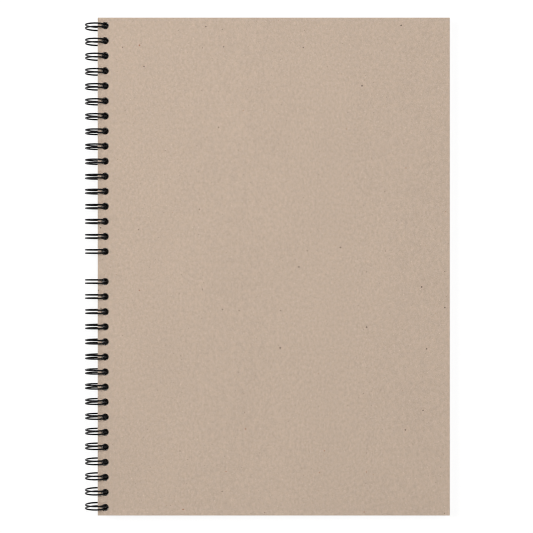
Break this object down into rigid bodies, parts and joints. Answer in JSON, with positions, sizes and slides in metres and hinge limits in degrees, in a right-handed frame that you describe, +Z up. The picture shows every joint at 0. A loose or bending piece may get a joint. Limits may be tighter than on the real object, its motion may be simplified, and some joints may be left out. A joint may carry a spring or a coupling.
{
  "type": "sketchbook",
  "caption": "Large side-bound sketchbook with bare greyboard covers, drawing sheets and a black twin-loop wire binding that the cover and pages turn on.",
  "frame": {"origin": "on the surface under the middle of the closed book's overall box", "axes": "+X from the bound edge to the free edge, +Y to the head of the page, +Z up out of the front cover"},
  "size_m": [0.3084, 0.42, 0.0192],
  "materials": {
    "greyboard": "bare recycled greyboard, matt, with fine fibres and specks",
    "drawing_paper": "natural white cartridge paper, matt, fine grain",
    "black_wire": "glossy black nylon-coated steel wire"
  },
  "bodies": {
    "back_cover": {"back_cover": "greyboard"},
    "wire_upper": {"wire_upper": "black_wire"},
    "wire_lower": {"wire_lower": "black_wire"},
    "front_cover": {"front_cover": "greyboard"},
    "sheets_01_to_03": {"sheets_01_to_03": "drawing_paper"},
    "sheets_04_to_06": {"sheets_04_to_06": "drawing_paper"},
    "sheets_07_to_09": {"sheets_07_to_09": "drawing_paper"},
    "sheets_10_to_12": {"sheets_10_to_12": "drawing_paper"},
    "sheets_13_to_15": {"sheets_13_to_15": "drawing_paper"},
    "sheets_16_to_18": {"sheets_16_to_18": "drawing_paper"},
    "sheets_19_to_21": {"sheets_19_to_21": "drawing_paper"},
    "sheets_22_to_24": {"sheets_22_to_24": "drawing_paper"},
    "sheets_25_to_27": {"sheets_25_to_27": "drawing_paper"},
    "sheets_28_to_30": {"sheets_28_to_30": "drawing_paper"},
    "sheets_31_to_33": {"sheets_31_to_33": "drawing_paper"},
    "sheets_34_to_36": {"sheets_34_to_36": "drawing_paper"},
    "sheets_37_to_39": {"sheets_37_to_39": "drawing_paper"},
    "sheets_40_to_42": {"sheets_40_to_42": "drawing_paper"},
    "sheets_43_to_45": {"sheets_43_to_45": "drawing_paper"},
    "sheets_46_to_48": {"sheets_46_to_48": "drawing_paper"}
  },
  "joints": [
    {"name": "front_cover_turn", "type": "hinge", "parent": "back_cover", "child": "front_cover", "pos_m": [-0.14452, 0, 0.00975], "axis": [0, -1, 0], "range_deg": [0, 181.59]},
    {"name": "wire_upper_roll", "type": "hinge", "parent": "back_cover", "child": "wire_upper", "pos_m": [-0.14452, 0, 0.00975], "axis": [0, -1, 0], "range_deg": [-50, 8]},
    {"name": "wire_lower_roll", "type": "hinge", "parent": "back_cover", "child": "wire_lower", "pos_m": [-0.14452, 0, 0.00975], "axis": [0, -1, 0], "range_deg": [-50, 8]},
    {"name": "sheets_01_to_03_turn", "type": "hinge", "parent": "back_cover", "child": "sheets_01_to_03", "pos_m": [-0.14452, 0, 0.00975], "axis": [0, -1, 0], "range_deg": [0, 181.1]},
    {"name": "sheets_04_to_06_turn", "type": "hinge", "parent": "back_cover", "child": "sheets_04_to_06", "pos_m": [-0.14452, 0, 0.00975], "axis": [0, -1, 0], "range_deg": [0, 180.39]},
    {"name": "sheets_07_to_09_turn", "type": "hinge", "parent": "back_cover", "child": "sheets_07_to_09", "pos_m": [-0.14452, 0, 0.00975], "axis": [0, -1, 0], "range_deg": [0, 179.56]},
    {"name": "sheets_10_to_12_turn", "type": "hinge", "parent": "back_cover", "child": "sheets_10_to_12", "pos_m": [-0.14452, 0, 0.00975], "axis": [0, -1, 0], "range_deg": [0, 178.65]},
    {"name": "sheets_13_to_15_turn", "type": "hinge", "parent": "back_cover", "child": "sheets_13_to_15", "pos_m": [-0.14452, 0, 0.00975], "axis": [0, -1, 0], "range_deg": [0, 177.65]},
    {"name": "sheets_16_to_18_turn", "type": "hinge", "parent": "back_cover", "child": "sheets_16_to_18", "pos_m": [-0.14452, 0, 0.00975], "axis": [0, -1, 0], "range_deg": [0, 176.6]},
    {"name": "sheets_19_to_21_turn", "type": "hinge", "parent": "back_cover", "child": "sheets_19_to_21", "pos_m": [-0.14452, 0, 0.00975], "axis": [0, -1, 0], "range_deg": [0, 175.49]},
    {"name": "sheets_22_to_24_turn", "type": "hinge", "parent": "back_cover", "child": "sheets_22_to_24", "pos_m": [-0.14452, 0, 0.00975], "axis": [0, -1, 0], "range_deg": [0, 174.33]},
    {"name": "sheets_25_to_27_turn", "type": "hinge", "parent": "back_cover", "child": "sheets_25_to_27", "pos_m": [-0.14452, 0, 0.00975], "axis": [0, -1, 0], "range_deg": [0, 7.26]},
    {"name": "sheets_28_to_30_turn", "type": "hinge", "parent": "back_cover", "child": "sheets_28_to_30", "pos_m": [-0.14452, 0, 0.00975], "axis": [0, -1, 0], "range_deg": [0, 6.1]},
    {"name": "sheets_31_to_33_turn", "type": "hinge", "parent": "back_cover", "child": "sheets_31_to_33", "pos_m": [-0.14452, 0, 0.00975], "axis": [0, -1, 0], "range_deg": [0, 4.99]},
    {"name": "sheets_34_to_36_turn", "type": "hinge", "parent": "back_cover", "child": "sheets_34_to_36", "pos_m": [-0.14452, 0, 0.00975], "axis": [0, -1, 0], "range_deg": [0, 3.94]},
    {"name": "sheets_37_to_39_turn", "type": "hinge", "parent": "back_cover", "child": "sheets_37_to_39", "pos_m": [-0.14452, 0, 0.00975], "axis": [0, -1, 0], "range_deg": [0, 2.94]},
    {"name": "sheets_40_to_42_turn", "type": "hinge", "parent": "back_cover", "child": "sheets_40_to_42", "pos_m": [-0.14452, 0, 0.00975], "axis": [0, -1, 0], "range_deg": [0, 2.03]},
    {"name": "sheets_43_to_45_turn", "type": "hinge", "parent": "back_cover", "child": "sheets_43_to_45", "pos_m": [-0.14452, 0, 0.00975], "axis": [0, -1, 0], "range_deg": [0, 1.2]},
    {"name": "sheets_46_to_48_turn", "type": "hinge", "parent": "back_cover", "child": "sheets_46_to_48", "pos_m": [-0.14452, 0, 0.00975], "axis": [0, -1, 0], "range_deg": [0, 0.4903]}
  ],
  "couplings": [
    {"joint": "sheets_01_to_03_turn", "follows": "front_cover_turn", "ratio": 0.9973},
    {"joint": "sheets_04_to_06_turn", "follows": "front_cover_turn", "ratio": 0.9934},
    {"joint": "sheets_07_to_09_turn", "follows": "front_cover_turn", "ratio": 0.9888},
    {"joint": "sheets_10_to_12_turn", "follows": "front_cover_turn", "ratio": 0.9838},
    {"joint": "sheets_13_to_15_turn", "follows": "front_cover_turn", "ratio": 0.9783},
    {"joint": "sheets_16_to_18_turn", "follows": "front_cover_turn", "ratio": 0.9725},
    {"joint": "sheets_19_to_21_turn", "follows": "front_cover_turn", "ratio": 0.9664},
    {"joint": "sheets_22_to_24_turn", "follows": "front_cover_turn", "ratio": 0.96},
    {"joint": "sheets_25_to_27_turn", "follows": "front_cover_turn", "ratio": 0.04},
    {"joint": "sheets_28_to_30_turn", "follows": "front_cover_turn", "ratio": 0.0336},
    {"joint": "sheets_31_to_33_turn", "follows": "front_cover_turn", "ratio": 0.0275},
    {"joint": "sheets_34_to_36_turn", "follows": "front_cover_turn", "ratio": 0.0217},
    {"joint": "sheets_37_to_39_turn", "follows": "front_cover_turn", "ratio": 0.0162},
    {"joint": "sheets_40_to_42_turn", "follows": "front_cover_turn", "ratio": 0.0112},
    {"joint": "sheets_43_to_45_turn", "follows": "front_cover_turn", "ratio": 0.0066},
    {"joint": "sheets_46_to_48_turn", "follows": "front_cover_turn", "ratio": 0.0027}
  ]
}
